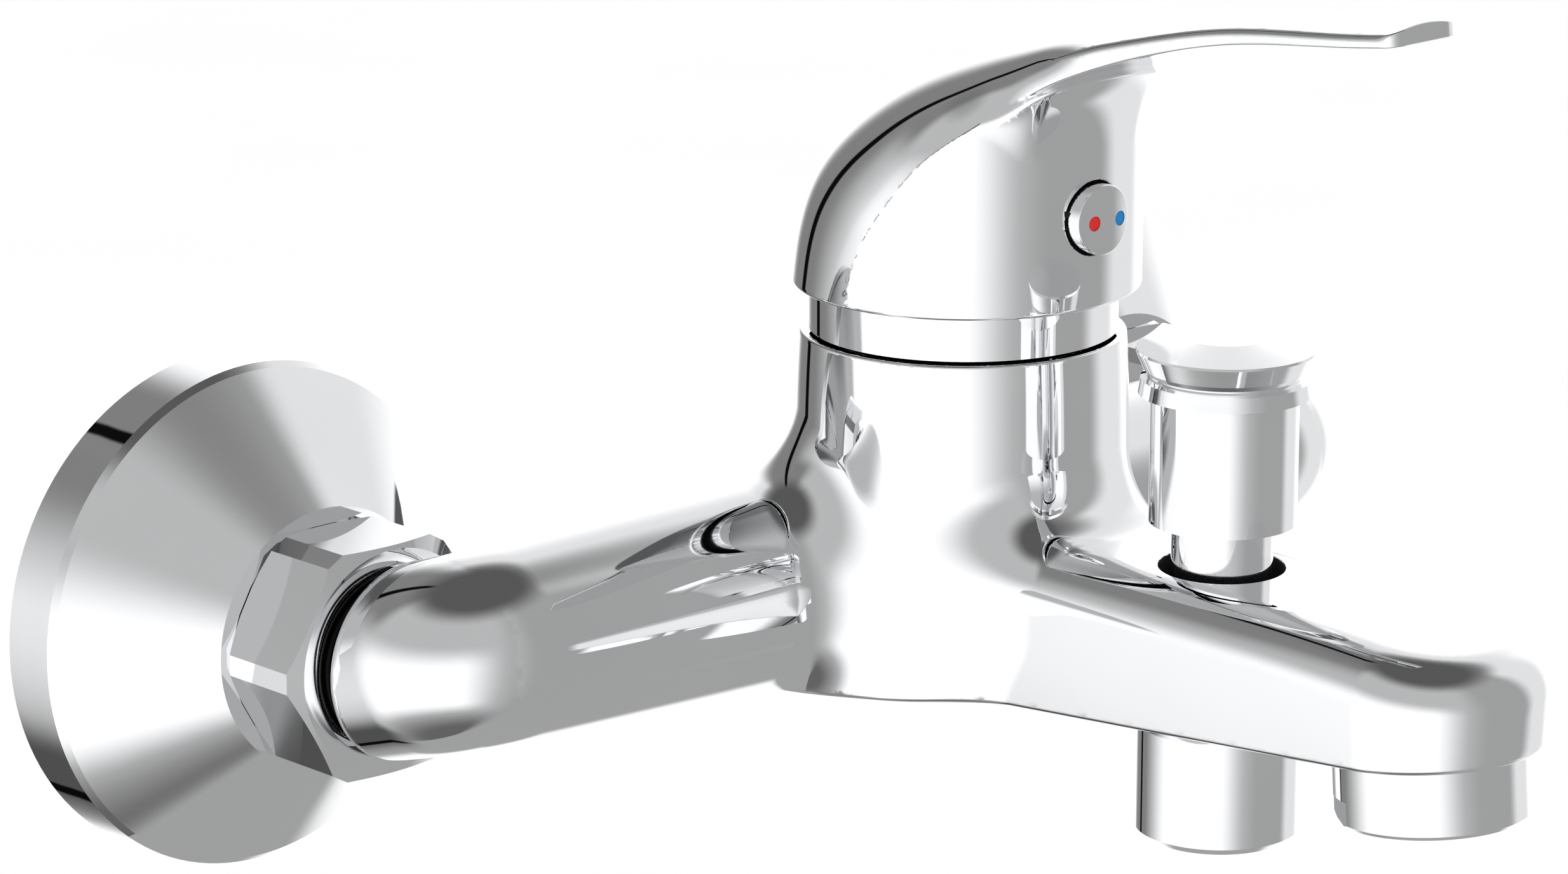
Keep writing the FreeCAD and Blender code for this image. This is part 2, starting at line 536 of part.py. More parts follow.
def build():
    nodes = {
        "body_casting": body_casting(),
        "cartridge_seals": cartridge_seals(),
        "cartridge_base": cartridge_base(),
        "fixed_ceramic_disc": fixed_disc(),
        "moving_ceramic_disc": moving_disc(),
        "disc_carrier": disc_carrier(),
        "cartridge_housing": cartridge_housing(),
        "cartridge_turret": turret(),
        "pivot_pin": pivot_pin(),
        "cartridge_stem": stem(),
        "cartridge_lock_nut": lock_nut(),
        "cover_sleeve": cover_sleeve(),
        "handle_lever": handle_lever(),
        "handle_grub_screw": grub_screw(),
        "index_button": index_button(),
        "index_dot_red": dot_enamel(DOTS_X[0]),
        "index_dot_blue": dot_enamel(DOTS_X[1]),
        "diverter_knob": diverter_knob(),
        "diverter_bonnet": diverter_bonnet(),
        "diverter_stem": diverter_stem(),
        "diverter_spring": diverter_spring(),
        "diverter_lower_washer": diverter_washer(-7.98, -6.92),
        "diverter_upper_washer": diverter_washer(-6.28, -5.45),
        "diverter_seat": diverter_seat(),
        "diverter_oring": torus(ORING_R, ORING_WIRE_R, ORING_Z, 0, DIVERTER_Y),
        "shower_nipple": shower_nipple(),
        "shower_check_valve": shower_check_valve(),
        "shower_check_poppet": check_poppet(),
        "aerator_housing": aerator_housing(),
        "aerator_insert": aerator_insert(),
        "aerator_screen": aerator_screen(),
        "aerator_gasket": aerator_gasket(),
    }
    for side, sign in SIDES:
        x = sign * INLET_SPACING / 2
        nodes["wall_flange_" + side] = wall_flange(x)
        nodes["eccentric_union_" + side] = eccentric_union(x)
        nodes["union_nut_" + side] = union_nut(x)
        nodes["union_seal_" + side] = union_seal(x)
        nodes["inlet_strainer_" + side] = strainer(x)
        nodes["inlet_tail_" + side] = inlet_tail(x)
    return nodes


os.makedirs("parts", exist_ok=True)
for name, shape in build().items():
    solids = len(shape.Solids)
    print("%-24s solids %d valid %s volume %.1f" % (name, solids, shape.isValid(), shape.Volume))
    shape.exportStep("parts/" + name + ".step")
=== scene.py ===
import json
import math

import bpy
import numpy as np
from mathutils import Matrix, Vector


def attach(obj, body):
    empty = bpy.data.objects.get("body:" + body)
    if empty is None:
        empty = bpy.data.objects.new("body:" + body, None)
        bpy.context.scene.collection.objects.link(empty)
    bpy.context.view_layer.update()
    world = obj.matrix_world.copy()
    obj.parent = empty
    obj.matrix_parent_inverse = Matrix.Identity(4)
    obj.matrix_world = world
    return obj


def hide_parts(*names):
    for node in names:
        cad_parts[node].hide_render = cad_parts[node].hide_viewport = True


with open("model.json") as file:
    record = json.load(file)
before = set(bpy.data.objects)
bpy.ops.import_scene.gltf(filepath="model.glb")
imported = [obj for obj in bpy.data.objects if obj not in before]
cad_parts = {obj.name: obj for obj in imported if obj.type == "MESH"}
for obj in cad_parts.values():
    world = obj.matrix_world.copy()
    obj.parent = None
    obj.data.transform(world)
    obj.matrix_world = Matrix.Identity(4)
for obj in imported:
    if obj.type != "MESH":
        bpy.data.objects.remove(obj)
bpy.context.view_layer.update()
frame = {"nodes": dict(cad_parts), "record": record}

MM = 0.001


# ---- camera ------------------------------------------------------------------
CAMERA_PLACE = (-0.526807, -0.585663, 0.221444)
CAMERA_FORWARD = (0.66372, 0.70093, -0.26111)
SENSOR_WIDTH, LENS = 36.0, 133.586


def make_camera():
    """Long lens, left of the faucet and a little above it, looking down toward the wall."""
    forward = Vector(CAMERA_FORWARD).normalized()
    right = forward.cross(Vector((0, 0, 1))).normalized()
    up = right.cross(forward).normalized()
    data = bpy.data.cameras.new("camera")
    data.sensor_width = SENSOR_WIDTH
    data.lens = LENS
    data.clip_start = 0.01
    data.clip_end = 60.0
    camera = bpy.data.objects.new("camera", data)
    basis = Matrix((right, up, -forward)).transposed().to_4x4()
    camera.matrix_world = Matrix.Translation(CAMERA_PLACE) @ basis
    bpy.context.scene.collection.objects.link(camera)
    bpy.context.scene.camera = camera


# ---- fields: signed distances in millimetres ------------------------------------
def join(a, b, r):
    """Union with a concave fillet of radius r."""
    return np.maximum(r, np.minimum(a, b)) - np.hypot(np.maximum(r - a, 0), np.maximum(r - b, 0))


def common(a, b, r):
    """Intersection with its edge rounded to radius r."""
    return -join(-a, -b, r)


def cut(a, b, r):
    """a without b, with the edge rounded to radius r."""
    return common(a, -b, r)


def smooth(t):
    """Eased step from 0 to 1 as t goes from 0 to 1."""
    t = np.clip(t, 0.0, 1.0)
    return t * t * (3.0 - 2.0 * t)


def cylinder(u, v, along, r, low, high, edge=0.2):
    """Capped cylinder: u, v are across, along is the axis coordinate."""
    return common(np.hypot(u, v) - r, np.maximum(low - along, along - high), edge)


# ---- body: sizes in millimetres --------------------------------------------------
INLET_X = 75.0
BARREL_Y, BARREL_R, BARREL_TOP_Z, BARREL_BORE_R, BARREL_FLOOR_Z = -63.5, 21.5, 36.0, 18.0, 5.0
BARREL_SWELL, BARREL_SWELL_DROP = 0.75, 10.0
# tube: radius at the elbow and its gain at the barrel; axis at the barrel and its shift at the elbow
TUBE_R, TUBE_GAIN = 12.5, 1.8
TUBE_Y, TUBE_Z, TUBE_SHIFT_Y, TUBE_SHIFT_Z = -52.0, 3.4, 2.6, 0.4
TUBE_END_Y, TUBE_END_ROUND = -37.45, 1.8
ELBOW_BEND_R, WALL_WAY_Y, WALL_WAY_Z = 6.0, 0.9526, -0.3042
SPOUT_ROOT_Y, SPOUT_TIP_Y, SPOUT_HALF, SPOUT_BULGE, SPOUT_TOP_ROUND = -62.0, -144.8, 14.05, 0.65, 6.3
SPOUT_TOP_Z, SPOUT_TOP_FALL, SPOUT_UNDER_Z, SPOUT_UNDER_SLOPE = 13.6, 0.7, -10.3, 0.092
BARREL_TUBE_FILLET, UNDER_EDGE = 8.5, 0.8
INLET_BORES = ((10.95, -37.42), (9.05, -43.1), (7.0, -50.0))
DIVERTER_Y = -110.0
DIVERTER_BORES = ((8.0, 1.8, 60.0), (9.5, -40.0, 0.4), (7.2, -2.0, 3.0))
AERATOR_Y, AERATOR_Z, AERATOR_TILT, AERATOR_BORE_R = -145.8, -11.2, 4.5, 11.5


def body_tube(ax, y, z):
    """Cross tube with its bend toward the inlet: a along it, b toward the wall, c across the bend's plane."""
    t = np.clip(ax / INLET_X, 0, 1)
    radius = TUBE_R + TUBE_GAIN * (1 - t) ** 0.85
    dy, dz = y - TUBE_Y - TUBE_SHIFT_Y * t, z - TUBE_Z - TUBE_SHIFT_Z * t
    a, b, c = ax - INLET_X, dy * WALL_WAY_Y + dz * WALL_WAY_Z, dz * WALL_WAY_Y - dy * WALL_WAY_Z
    bend = ELBOW_BEND_R
    swept = np.hypot(np.maximum(a + bend, 0), np.maximum(bend - b, 0)) - bend
    swept = np.hypot(swept, c) - radius
    inner_r = 0.05 + 4.0 * smooth((-a - bend) / 7.0) * smooth((b - bend) / 7.0)
    inner = join(np.hypot(b, c) - radius, np.hypot(a, c) - radius, inner_r)
    tube = np.where((a < -bend) & (b > bend), inner, swept)
    return common(tube, y - TUBE_END_Y - 6.0 * smooth((66.0 - ax) / 8.0), TUBE_END_ROUND)


def body_barrel(x, y, z):
    """Cartridge barrel, a little wider lower down."""
    rho = np.hypot(x, y - BARREL_Y)
    swell = BARREL_SWELL * (1 - np.exp(-np.clip(BARREL_TOP_Z - z, 0, 60) / BARREL_SWELL_DROP))
    return common(rho - (BARREL_R + swell), z - BARREL_TOP_Z, 0.35)


def spout_underside(y):
    return SPOUT_UNDER_Z + SPOUT_UNDER_SLOPE * (SPOUT_ROOT_Y - y)


def body_spout(ax, y, z):
    """Spout with bowed sides, a rounded top edge and a round end; its underside is cut off later."""
    top = (SPOUT_TOP_Z - SPOUT_TOP_FALL * smooth((SPOUT_ROOT_Y - y) / 90.0)
           - 0.0016 * np.clip(-125.0 - y, 0, 60) ** 2)
    middle = (z - 0.5 * (top + spout_underside(y))) / 11.0
    half = SPOUT_HALF + SPOUT_BULGE * np.clip(1 - middle ** 2, -1, 1)
    plan = np.where(y < SPOUT_TIP_Y, np.hypot(ax, y - SPOUT_TIP_Y), ax) - half
    return np.maximum(common(plan, z - top, SPOUT_TOP_ROUND), y + 60.0)


def body_blank(x, y, z):
    ax = np.abs(x)
    fillet = 4.0 + 4.5 * smooth((z + 10.0) / 12.0)
    solid = join(body_barrel(x, y, z), body_tube(ax, y, z), BARREL_TUBE_FILLET)
    solid = join(solid, body_spout(ax, y, z), fillet)
    # flat underside with a crisp edge, except along the tube, whose round belly stays whole
    return common(solid, spout_underside(y) - 3.0 * smooth((ax - 30.0) / 15.0) - z, UNDER_EDGE)


def body_holes(x, y, z):
    ax = np.abs(x)
    holes = cylinder(x, y - BARREL_Y, z, BARREL_BORE_R, BARREL_FLOOR_Z, 60.0)
    for radius, bottom in INLET_BORES:
        holes = np.minimum(holes, cylinder(ax - INLET_X, z, y, radius, bottom, 0.0))
    for radius, low, high in DIVERTER_BORES:
        holes = np.minimum(holes, cylinder(x, y - DIVERTER_Y, z, radius, low, high))
    c, s = math.cos(math.radians(AERATOR_TILT)), math.sin(math.radians(AERATOR_TILT))
    dy, dz = y - AERATOR_Y, z - AERATOR_Z
    return np.minimum(holes, cylinder(x, dy * c - dz * s, dy * s + dz * c, AERATOR_BORE_R, -5.0, 12.6))


def body_field(x, y, z):
    return cut(body_blank(x, y, z), body_holes(x, y, z), 0.35)


# ---- handle: sizes in millimetres --------------------------------------------------
SKIRT_Y, SKIRT_R, SKIRT_BOTTOM_Z = -63.9, 23.1, 42.4
HOLLOW_R, HOLLOW_HEIGHT, HOLLOW_POWER = 21.3, 18.0, 2.4
INDEX_Z = 54.5
# bores behind the index button: radius, far end, near end
INDEX_BORES = ((2.52, -82.5, BARREL_Y), (3.15, -95.0, -82.0), (4.85, -99.0, -86.0))
# strap stations: half width, lower edge (y, z), crown (y, z), squareness
STRAP = np.array((
    (23.10, -64.6, 42.4, -41.1, 42.4, 2.0),
    (23.05, -65.5, 45.0, -42.3, 50.3, 2.0),
    (22.97, -66.4, 47.7, -44.8, 56.8, 2.0),
    (22.62, -68.7, 52.7, -50.1, 63.1, 2.0),
    (21.75, -71.8, 57.3, -56.6, 68.0, 2.0),
    (20.30, -75.1, 61.8, -63.5, 71.8, 2.0),
    (17.55, -79.0, 65.7, -70.7, 74.6, 2.0),
    (13.40, -83.3, 69.4, -77.6, 76.7, 2.0),
    (11.29, -87.7, 72.7, -84.1, 78.5, 2.2),
    (9.80, -92.7, 75.2, -90.6, 79.9, 2.3),
    (8.77, -103.1, 78.9, -102.0, 82.5, 2.3),
    (7.84, -113.9, 81.7, -113.3, 84.8, 2.3),
    (7.46, -124.9, 83.3, -124.6, 86.1, 2.3),
    (7.00, -136.0, 84.5, -135.7, 87.0, 2.3),
    (6.50, -141.5, 85.2, -141.1, 87.6, 2.3),
))


class Spline:
    """Natural cubic spline through rows of values at increasing knots."""

    def __init__(self, knots, values):
        n = len(knots)
        h = np.diff(knots)
        a = np.eye(n)
        rhs = np.zeros_like(values)
        for i in range(1, n - 1):
            a[i, i - 1:i + 2] = h[i - 1], 2 * (h[i - 1] + h[i]), h[i]
            rhs[i] = 6 * ((values[i + 1] - values[i]) / h[i] - (values[i] - values[i - 1]) / h[i - 1])
        self.knots, self.values, self.bend, self.h = knots, values, np.linalg.solve(a, rhs), h

    def at(self, s):
        i = np.clip(np.searchsorted(self.knots, s) - 1, 0, len(self.h) - 1)
        h = self.h[i][:, None]
        b = (s - self.knots[i])[:, None] / h
        a = 1 - b
        return (a * self.values[i] + b * self.values[i + 1]
                + ((a ** 3 - a) * self.bend[i] + (b ** 3 - b) * self.bend[i + 1]) * h * h / 6)


def strap_spline():
    mid = 0.5 * (STRAP[:, 1:3] + STRAP[:, 3:5])
    knots = np.concatenate(([0.0], np.cumsum(np.linalg.norm(np.diff(mid, axis=0), axis=1))))
    return Spline(knots, STRAP)


SPINE = strap_spline()
SPINE_S = np.linspace(SPINE.knots[0], SPINE.knots[-1], 400)
SPINE_V = SPINE.at(SPINE_S)
TIP_Y, TIP_Z = 0.5 * (STRAP[-1, 1] + STRAP[-1, 3]), 0.5 * (STRAP[-1, 2] + STRAP[-1, 4])


def strap_coordinates(y, z):
    """Station parameter and height above the lower edge (0 to 1) for points of the (y, z) plane."""
    def miss(v):
        return (y - v[:, 1]) * (v[:, 4] - v[:, 2]) - (z - v[:, 2]) * (v[:, 3] - v[:, 1])

    best = np.zeros(len(y), int)
    least = np.full(len(y), 1e9)
    for i in range(0, len(SPINE_S), 8):
        v = SPINE_V[i]
        dy, dz = v[3] - v[1], v[4] - v[2]
        size = dy * dy + dz * dz
        h = np.clip(((y - v[1]) * dy + (z - v[2]) * dz) / size, -1.5, 2.5)
        d = np.hypot(y - v[1] - h * dy, z - v[2] - h * dz)
        closer = d < least
        best[closer] = i
        least[closer] = d[closer]
    s = SPINE_S[best]
    for _ in range(5):
        f = miss(SPINE.at(s))
        slope = (miss(SPINE.at(s + 0.01)) - f) / 0.01
        slope = np.where(np.abs(slope) < 1e-3, 1e-3, slope)
        s = np.clip(s - np.clip(f / slope, -4, 4), SPINE_S[0], SPINE_S[-1])
    v = SPINE.at(s)
    dy, dz = v[:, 3] - v[:, 1], v[:, 4] - v[:, 2]
    length = np.hypot(dy, dz)
    h = ((y - v[:, 1]) * dy + (z - v[:, 2]) * dz) / length ** 2
    w = SPINE.at(np.clip(s + 0.05, 0, SPINE_S[-1])) - SPINE.at(np.clip(s - 0.05, 0, SPINE_S[-1]))
    edge = np.hypot(w[:, 1], w[:, 2]) + 1e-9
    lean = np.abs(dy * w[:, 2] - dz * w[:, 1]) / (length * edge)
    return v, h, length, lean


def handle_strap(ax, v, h, length, lean, y, z):
    """Lever, elliptical at the root and crowned between upright sides farther out; and the depth below it."""
    half, square = v[:, 0], v[:, 5]
    a, b = ax / half, np.maximum(h, 0)
    rho = (a ** square + b ** square) ** (1 / square) + 1e-6
    slope = rho ** (1 - square) * np.hypot(a ** (square - 1) / half, b ** (square - 1) / (length * lean))
    outer = np.clip((rho - 1) / np.maximum(slope, 0.02), -30, 60)
    drop = 0.42 * length
    crown = (h * length - length + drop * a ** 2) / np.hypot(1, 2 * drop * a / half)
    plate = common(crown, ax - half, 0.9)
    outer += smooth((-88.0 - v[:, 1]) / 9.0) * (plate - outer)
    below = -h * length * lean
    tip = (-(y - TIP_Y) * 0.993 + (z - TIP_Z) * 0.118)
    plan = common(ax - half, tip, 2.7)
    rim = 0.08 + 0.4 * smooth((-72.0 - y) / 12.0)
    return common(common(outer, below, rim), plan, 0.2), below


def handle_blank(x, y, z):
    ax = np.abs(x)
    strap, below = handle_strap(ax, *strap_coordinates(y, z), y, z)
    skirt = np.hypot(x, y - SKIRT_Y) - SKIRT_R
    skirt = np.maximum(skirt, -below - 0.25)
    flare = smooth((17.0 - ax) / 8.0) * smooth((-70.0 - y) / 8.0) * smooth((below + 1.0) / 2.0)
    shape = join(strap, skirt, 0.15 + 6.5 * flare)
    return common(shape, SKIRT_BOTTOM_Z - z, 0.5)


def handle_holes(x, y, z):
    """Domed hollow with the boss that grips the square stem, and the bores behind the index button."""
    ax = np.abs(x)
    out = np.hypot(x, y - SKIRT_Y) / HOLLOW_R
    up = np.maximum(z - 42.0, 0) / HOLLOW_HEIGHT
    hollow = (out ** HOLLOW_POWER + up ** HOLLOW_POWER) ** (1 / HOLLOW_POWER) * HOLLOW_HEIGHT - HOLLOW_HEIGHT
    by = y - BARREL_Y
    boss = cylinder(x, by, z, 8.0, 50.0, 66.0)
    boss = np.minimum(boss, np.maximum(np.maximum(ax - 5.5, by), np.maximum(50.0 - z, -84.0 - y)))
    socket = np.maximum(np.maximum(ax, np.abs(by)) - 4.05, z - 61.1)
    holes = np.maximum(np.minimum(np.maximum(hollow, -boss), socket), z - 70)
    for radius, low, high in INDEX_BORES:
        holes = np.minimum(holes, cylinder(x, z - INDEX_Z, y, radius, low, high))
    return holes


def handle_field(x, y, z):
    return cut(handle_blank(x, y, z), handle_holes(x, y, z), 0.2)


# ---- meshing ---------------------------------------------------------------------
CHUNK = 400000
SPLIT_ANGLE, SHORTEST_EDGE, SPLIT_ROUNDS = 16.0, 0.16, 3
HOLE_REACH = 0.12


def evaluate(field, points):
    """Field values at points, in chunks to save memory."""
    out = np.empty(len(points))
    for i in range(0, len(points), CHUNK):
        p = points[i:i + CHUNK]
        out[i:i + CHUNK] = field(p[:, 0], p[:, 1], p[:, 2])
    return out


def gradient(field, points, h=0.02):
    g = np.empty_like(points)
    for k in range(3):
        step = np.zeros(3)
        step[k] = h
        g[:, k] = (evaluate(field, points + step) - evaluate(field, points - step)) / (2 * h)
    return g


def settle(field, points, rounds=4):
    """Moves points onto the zero surface of the field."""
    for _ in range(rounds):
        g = gradient(field, points)
        size = np.maximum((g ** 2).sum(1), 0.05)
        move = (evaluate(field, points) / size)[:, None] * g
        reach = np.linalg.norm(move, axis=1, keepdims=True)
        points = points - move * np.minimum(1, 0.4 / np.maximum(reach, 1e-9))
    return points


def surface_net(field, low, high, step):
    """Quads around the zero surface of a field sampled on a regular grid."""
    axes = [np.arange(a, b + step, step) for a, b in zip(low, high)]
    shape = [len(a) for a in axes]
    values = np.empty(shape, np.float32)
    yy, zz = np.meshgrid(axes[1], axes[2], indexing="ij")
    flat_y, flat_z = yy.ravel(), zz.ravel()
    for i, x in enumerate(axes[0]):
        values[i] = field(np.full(flat_y.shape, x), flat_y, flat_z).reshape(yy.shape)
    inside = values < 0
    count = sum(inside[i:shape[0] - 1 + i, j:shape[1] - 1 + j, k:shape[2] - 1 + k].astype(np.int8)
                for i in (0, 1) for j in (0, 1) for k in (0, 1))
    cells = np.argwhere((count > 0) & (count < 8))
    index = np.full(count.shape, -1, np.int64)
    index[tuple(cells.T)] = np.arange(len(cells))
    total = np.zeros((len(cells), 3))
    hits = np.zeros(len(cells))
    corners = [(i, j, k) for i in (0, 1) for j in (0, 1) for k in (0, 1)]
    for c0 in corners:
        for axis in range(3):
            if c0[axis]:
                continue
            c1 = list(c0)
            c1[axis] = 1
            v0 = values[tuple((cells + c0).T)].astype(float)
            v1 = values[tuple((cells + c1).T)].astype(float)
            crossed = (v0 < 0) != (v1 < 0)
            t = np.where(crossed, v0 / np.where(crossed, v0 - v1, 1), 0)
            point = np.array(c0, float) + t[:, None] * np.eye(3)[axis]
            total += point * crossed[:, None]
            hits += crossed
    points = np.array(low) + (cells + total / hits[:, None]) * step
    quads = []
    for axis in range(3):
        u, w = (axis + 1) % 3, (axis + 2) % 3
        first = [slice(1, n - 1) for n in shape]
        first[axis] = slice(0, shape[axis] - 1)
        second = list(first)
        second[axis] = slice(1, shape[axis])
        change = inside[tuple(first)] != inside[tuple(second)]
        at = np.argwhere(change) + [0 if k == axis else 1 for k in range(3)]
        outward = inside[tuple(at.T)]
        du, dw = np.eye(3, dtype=int)[u], np.eye(3, dtype=int)[w]
        ring = [index[tuple((at - a).T)] for a in (du + dw, dw, 0 * du, du)]
        quad = np.stack(ring, 1)
        quad[~outward] = quad[~outward][:, ::-1]
        quads.append(quad)
    return points, np.concatenate(quads)


def split_tight(field, points, tris, angle, shortest):
    """Splits edges across which the surface turns by more than angle."""
    normals = gradient(field, points)
    normals /= np.linalg.norm(normals, axis=1, keepdims=True) + 1e-12
    pairs = np.sort(np.concatenate([tris[:, [0, 1]], tris[:, [1, 2]], tris[:, [2, 0]]]), axis=1)
    edges, back = np.unique(pairs, axis=0, return_inverse=True)
    back = back.reshape(3, -1).T
    a, b = edges[:, 0], edges[:, 1]
    turn = (normals[a] * normals[b]).sum(1) < math.cos(math.radians(angle))
    long = np.linalg.norm(points[a] - points[b], axis=1) > shortest
    marked = turn & long
    new_id = np.full(len(edges), -1, np.int64)
    new_id[marked] = len(points) + np.arange(marked.sum())
    added = 0.5 * (points[a[marked]] + points[b[marked]])
    mid = new_id[back]
    has = mid >= 0
    n = has.sum(1)
    out = [tris[n == 0]]
    m = n == 3
    (p, q, r), (pq, qr, rp) = tris[m].T, mid[m].T
    out += [np.stack(t, 1) for t in ((p, pq, rp), (pq, q, qr), (rp, qr, r), (pq, qr, rp))]
    for k in range(3):
        order = [k, (k + 1) % 3, (k + 2) % 3]
        m = (n == 1) & has[:, k]
        p, q, r = tris[m][:, order].T
        pq = mid[m][:, k]
        out += [np.stack((p, pq, r), 1), np.stack((pq, q, r), 1)]
        m = (n == 2) & ~has[:, k]
        p, q, r = tris[m][:, order].T
        qr, rp = mid[m][:, order[1]], mid[m][:, order[2]]
        out += [np.stack((r, rp, qr), 1), np.stack((p, q, qr), 1), np.stack((p, qr, rp), 1)]
    return np.concatenate([points, added]), np.concatenate(out), int(marked.sum())


def field_piece(name, field, holes, low, high, step, materials):
    """Builds a piece from a field, finer where the surface turns quickly.

    materials are the outer one and the one for faces that the holes cut.
    """
    points, quads = surface_net(field, low, high, step)
    points = settle(field, points)
    tris = np.concatenate([quads[:, [0, 1, 2]], quads[:, [0, 2, 3]]])
    for _ in range(SPLIT_ROUNDS):
        points, tris, added = split_tight(field, points, tris, SPLIT_ANGLE, SHORTEST_EDGE)
        if not added:
            break
        points[-added:] = settle(field, points[-added:], 3)
    normals = gradient(field, points)
    normals /= np.linalg.norm(normals, axis=1, keepdims=True) + 1e-12
    mesh = bpy.data.meshes.new(name)
    mesh.from_pydata((points * MM).tolist(), [], tris.tolist())
    mesh.shade_smooth()
    mesh.normals_split_custom_set_from_vertices(normals.tolist())
    for material in materials:
        mesh.materials.append(material)
    inner = evaluate(holes, points[tris].mean(axis=1)) < HOLE_REACH
    mesh.polygons.foreach_set("material_index", inner.astype(np.int32))
    obj = bpy.data.objects.new(name, mesh)
    bpy.context.scene.collection.objects.link(obj)
    print("PIECE", name, len(points), len(tris))
    return obj


# ---- materials -------------------------------------------------------------------
def add(tree, kind, sockets=None, **settings):
    """Adds a shader node; sockets given as other sockets are linked, the rest are set."""
    node = tree.nodes.new(kind)
    for key, value in settings.items():
        setattr(node, key, value)
    for key, value in (sockets or {}).items():
        if isinstance(value, bpy.types.NodeSocket):
            tree.links.new(value, node.inputs[key])
        else:
            node.inputs[key].default_value = value
    return node


def new_material(name):
    material = bpy.data.materials.new(name)
    material.use_nodes = True
    tree = material.node_tree
    return material, tree, tree.nodes["Principled BSDF"]


def noise(tree, scale, detail=2.0, stretch=(1, 1, 1)):
    """Object-space noise; scale is in features per metre."""
    place = add(tree, "ShaderNodeTexCoord").outputs["Object"]
    place = add(tree, "ShaderNodeMapping", {"Vector": place, "Scale": stretch}).outputs[0]
    return add(tree, "ShaderNodeTexNoise", {"Vector": place, "Scale": scale, "Detail": detail}).outputs[0]


def remap(tree, value, low, high, to_low, to_high):
    return add(tree, "ShaderNodeMapRange", {"Value": value, "From Min": low, "From Max": high,
                                            "To Min": to_low, "To Max": to_high}).outputs[0]


def blend(tree, fac, a, b):
    node = tree.nodes.new("ShaderNodeMix")
    node.data_type = "RGBA"
    tree.links.new(fac, node.inputs["Factor"])
    for socket, value in ((node.inputs[6], a), (node.inputs[7], b)):
        if isinstance(value, bpy.types.NodeSocket):
            tree.links.new(value, socket)
        else:
            socket.default_value = (*value, 1)
    return node.outputs[2]


def bump(tree, bsdf, height, distance, strength=1.0):
    node = add(tree, "ShaderNodeBump", {"Height": height, "Distance": distance, "Strength": strength})
    tree.links.new(node.outputs[0], bsdf.inputs["Normal"])


def shade(colour, factor):
    return tuple(min(1.0, c * factor) for c in colour)


def tinted(tree, bsdf, colour, spread, scale, rough, detail=4.0, stretch=(1, 1, 1)):
    """Mottled colour around a mean, with roughness that follows the same noise."""
    n = noise(tree, scale, detail, stretch)
    near = remap(tree, n, 0.3, 0.7, 0.0, 1.0)
    tree.links.new(blend(tree, near, shade(colour, 1 - spread), shade(colour, 1 + spread)),
                   bsdf.inputs["Base Color"])
    tree.links.new(remap(tree, n, 0.3, 0.7, rough[0], rough[1]), bsdf.inputs["Roughness"])
    return n


THREAD_LINES = 3460.0      # radians of thread line per metre, one ridge every 1.8 mm
THREAD_EDGE = 0.0002


def thread_shadow(tree, bsdf, radius, depth):
    """Inside the inlet bore of this radius, behind this y, the metal is painted dark as shadow and cut with
    painted thread lines.
    """
    split = add(tree, "ShaderNodeSeparateXYZ", {0: add(tree, "ShaderNodeTexCoord").outputs["Object"]})
    x, y, z = split.outputs
    side = add(tree, "ShaderNodeMath", {0: x}, operation="ABSOLUTE").outputs[0]
    side = add(tree, "ShaderNodeMath", {0: side, 1: INLET_X * MM}, operation="SUBTRACT").outputs[0]
    across = add(tree, "ShaderNodeCombineXYZ", {"X": side, "Y": z}).outputs[0]
    r = add(tree, "ShaderNodeVectorMath", {0: across}, operation="LENGTH").outputs["Value"]
    inside = remap(tree, r, radius, radius + THREAD_EDGE, 1.0, 0.0)
    deep = remap(tree, y, depth - THREAD_EDGE, depth, 0.0, 1.0)
    mask = add(tree, "ShaderNodeMath", {0: inside, 1: deep}, operation="MULTIPLY").outputs[0]
    lines = add(tree, "ShaderNodeMath", {0: y, 1: THREAD_LINES}, operation="MULTIPLY").outputs[0]
    lines = add(tree, "ShaderNodeMath", {0: lines}, operation="SINE").outputs[0]
    plate = bsdf.inputs["Base Color"].links[0].from_socket
    # painted shadow: near-black colour inside the bore, striped with painted thread lines
    dark = blend(tree, remap(tree, lines, -1, 1, 0, 1), (0.006, 0.006, 0.007), (0.035, 0.033, 0.03))
    tree.links.new(blend(tree, mask, plate, dark), bsdf.inputs["Base Color"])
    haze = bsdf.inputs["Roughness"].links[0].from_socket
    rough = add(tree, "ShaderNodeMath", {0: mask, 1: 0.4, 2: haze}, operation="MULTIPLY_ADD").outputs[0]
    tree.links.new(rough, bsdf.inputs["Roughness"])


def chrome(name, thread=None):
    """Bright plate: faint cool tint, polish haze, barely wavy surface; thread is a (radius, depth)."""
    material, tree, bsdf = new_material(name)
    bsdf.inputs["Metallic"].default_value = 1.0
    tinted(tree, bsdf, (0.94, 0.945, 0.957), 0.012, 55.0, (0.018, 0.038))
    bump(tree, bsdf, noise(tree, 70.0, 1.0), 0.00002, 0.5)
    if thread:
        thread_shadow(tree, bsdf, *thread)
    return material


def bare_casting_and_shade(name):
    """Unplated inside of a casting, dark with oxide and grainy from the sand core; its near-black colour is
    also painted shade for the hollows, bores and gaps.
    """
    material, tree, bsdf = new_material(name)
    bsdf.inputs["Metallic"].default_value = 0.3
    # near-black colour: bare casting darkened further as painted shade for hollows and gaps
    tinted(tree, bsdf, (0.012, 0.0115, 0.011), 0.35, 900.0, (0.6, 0.85))
    bump(tree, bsdf, noise(tree, 2500.0, 3.0), 0.00008)
    return material


def turned_brass(name, colour):
    """Machined brass: fine tool lines over a slightly tarnished surface."""
    material, tree, bsdf = new_material(name)
    bsdf.inputs["Metallic"].default_value = 1.0
    tinted(tree, bsdf, colour, 0.10, 160.0, (0.18, 0.34), 5.0)
    bump(tree, bsdf, noise(tree, 60.0, 3.0, (1, 60, 60)), 0.00003, 0.6)
    return material


